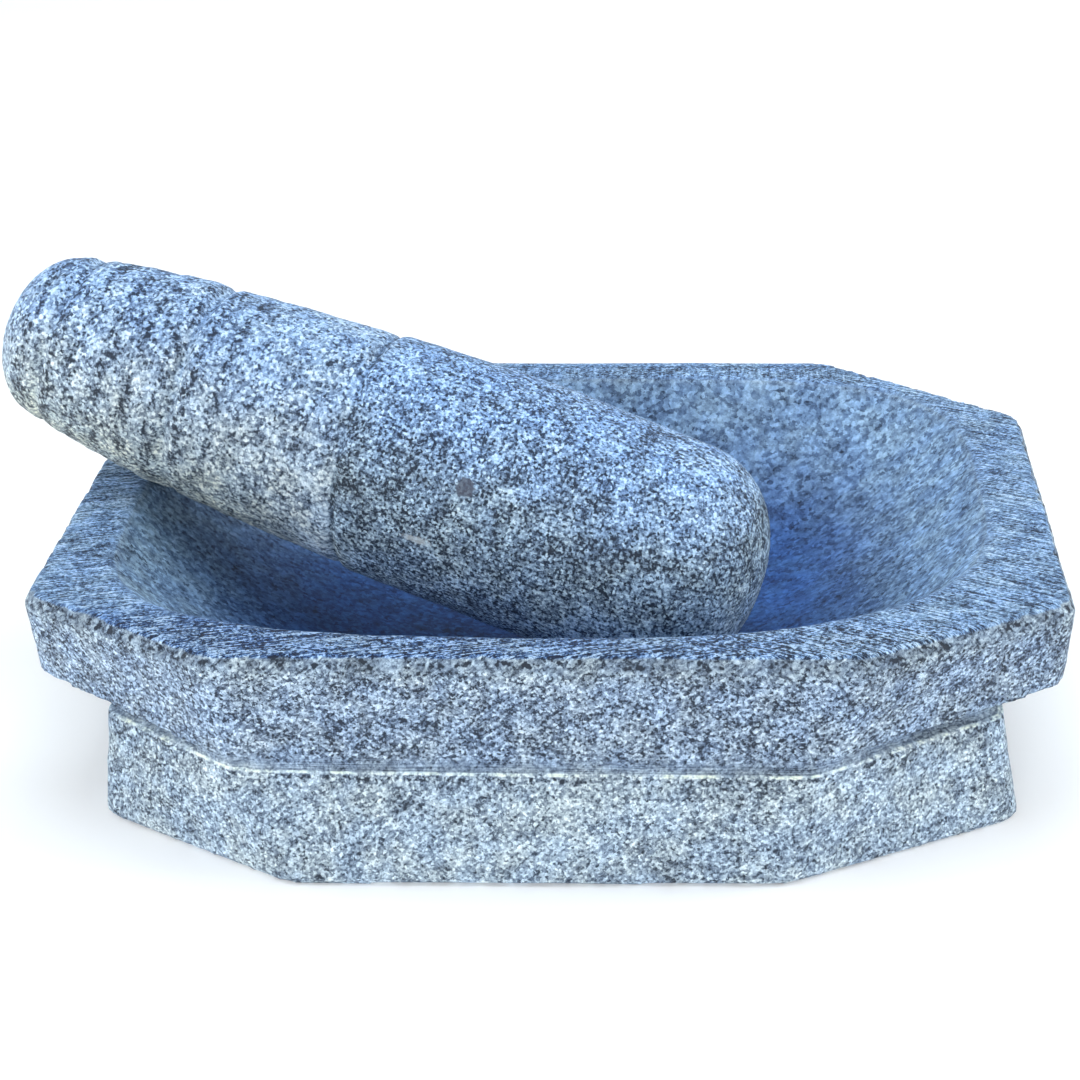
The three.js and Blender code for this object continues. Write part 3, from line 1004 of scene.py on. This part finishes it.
# %% [markdown]
# ## Floor, light and camera
#
# A plain pale floor and soft light from above. The camera stands in front, a little to the
# right, and looks down at the bowl.

# %% Floor
FLOOR_HALF = 4.0
PAPER_WHITE, PAPER_GLOW = (0.9, 0.9, 0.9, 1), 0.15
bpy.ops.object.select_all(action="DESELECT")
bpy.ops.mesh.primitive_plane_add(size=2 * FLOOR_HALF, location=(0, 0, 0))
ground = named("studio_floor")
bpy.ops.object.mode_set(mode="EDIT")
bpy.ops.mesh.subdivide(number_cuts=3)
bpy.ops.object.mode_set(mode="OBJECT")
paper = Recipe("studio_floor")
paper.shader.inputs["Base Color"].default_value = PAPER_WHITE
paper.shader.inputs["Emission Color"].default_value = (1, 1, 1, 1)
paper.shader.inputs["Emission Strength"].default_value = PAPER_GLOW
paper.shader.inputs["Roughness"].default_value = 0.9
ground.data.materials.append(paper.material)


# %% Lights
LAMP_SIZE = 0.8
MIDDLE = Vector((0, 0, 0.03))
SKY_BLUE, CLEAR = (0.80, 0.92, 1.0), (1.0, 1.0, 1.0)
LAMPS = [  # name, place in metres, power in watts, colour
    ("top_light", (0, 0, 1.3), 7.2, SKY_BLUE),
    ("back_light", (0, 1.2, 0.9), 4.3, SKY_BLUE),
    ("left_light", (-1.3, 0.1, 0.6), 7.5, CLEAR),
    ("left_front_light", (-1.05, -0.75, 0.35), 3.0, CLEAR),
    ("right_light", (1.3, 0.1, 0.6), 11, CLEAR),
    ("front_light", (0, -1.4, 0.3), 11, CLEAR),
]


def softbox(name, place, power, colour):
    """A square area light that looks at the middle of the mortar."""
    lamp = bpy.data.lights.new(name, "AREA")
    lamp.shape, lamp.size, lamp.energy, lamp.color = "SQUARE", LAMP_SIZE, power, colour
    box = bpy.data.objects.new(name, lamp)
    box.location = place
    box.rotation_euler = (MIDDLE - Vector(place)).to_track_quat("-Z", "Y").to_euler()
    bpy.context.scene.collection.objects.link(box)


for lamp_row in LAMPS:
    softbox(*lamp_row)
print(len(LAMPS), "soft lights")
sky = bpy.data.worlds.new("studio")
bpy.context.scene.world = sky
sky.use_nodes = True
sky.node_tree.nodes["Background"].inputs["Color"].default_value = (0.94, 0.97, 1.0, 1)
sky.node_tree.nodes["Background"].inputs["Strength"].default_value = 0.34
bpy.context.scene.view_settings.view_transform = "Standard"

# %% Camera
CAMERA_PLACE = Vector((40.0, -587.5, 304.4)) * MM
PITCH, YAW, ROLL = math.radians(24), math.radians(-4.34), math.radians(-1.5)
forward = Vector((math.sin(YAW) * math.cos(PITCH), math.cos(YAW) * math.cos(PITCH),
                  -math.sin(PITCH)))
level = Vector((math.cos(YAW), -math.sin(YAW), 0))
above = level.cross(forward)
right = math.cos(ROLL) * level + math.sin(ROLL) * above
up = -math.sin(ROLL) * level + math.cos(ROLL) * above
lens = bpy.data.cameras.new("camera")
lens.lens, lens.sensor_width = 84.1, 36
camera = bpy.data.objects.new("camera", lens)
camera.matrix_world = (Matrix.Translation(CAMERA_PLACE)
                       @ Matrix((right, up, -forward)).transposed().to_4x4())
bpy.context.scene.collection.objects.link(camera)
bpy.context.scene.camera = camera

# %% Ride and replace
STONES = [(mortar, "mortar", "mortar_granite"), (pestle, "pestle", "pestle_granite")]
for stone, node, slot in STONES:
    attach(stone, node)
    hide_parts(node)
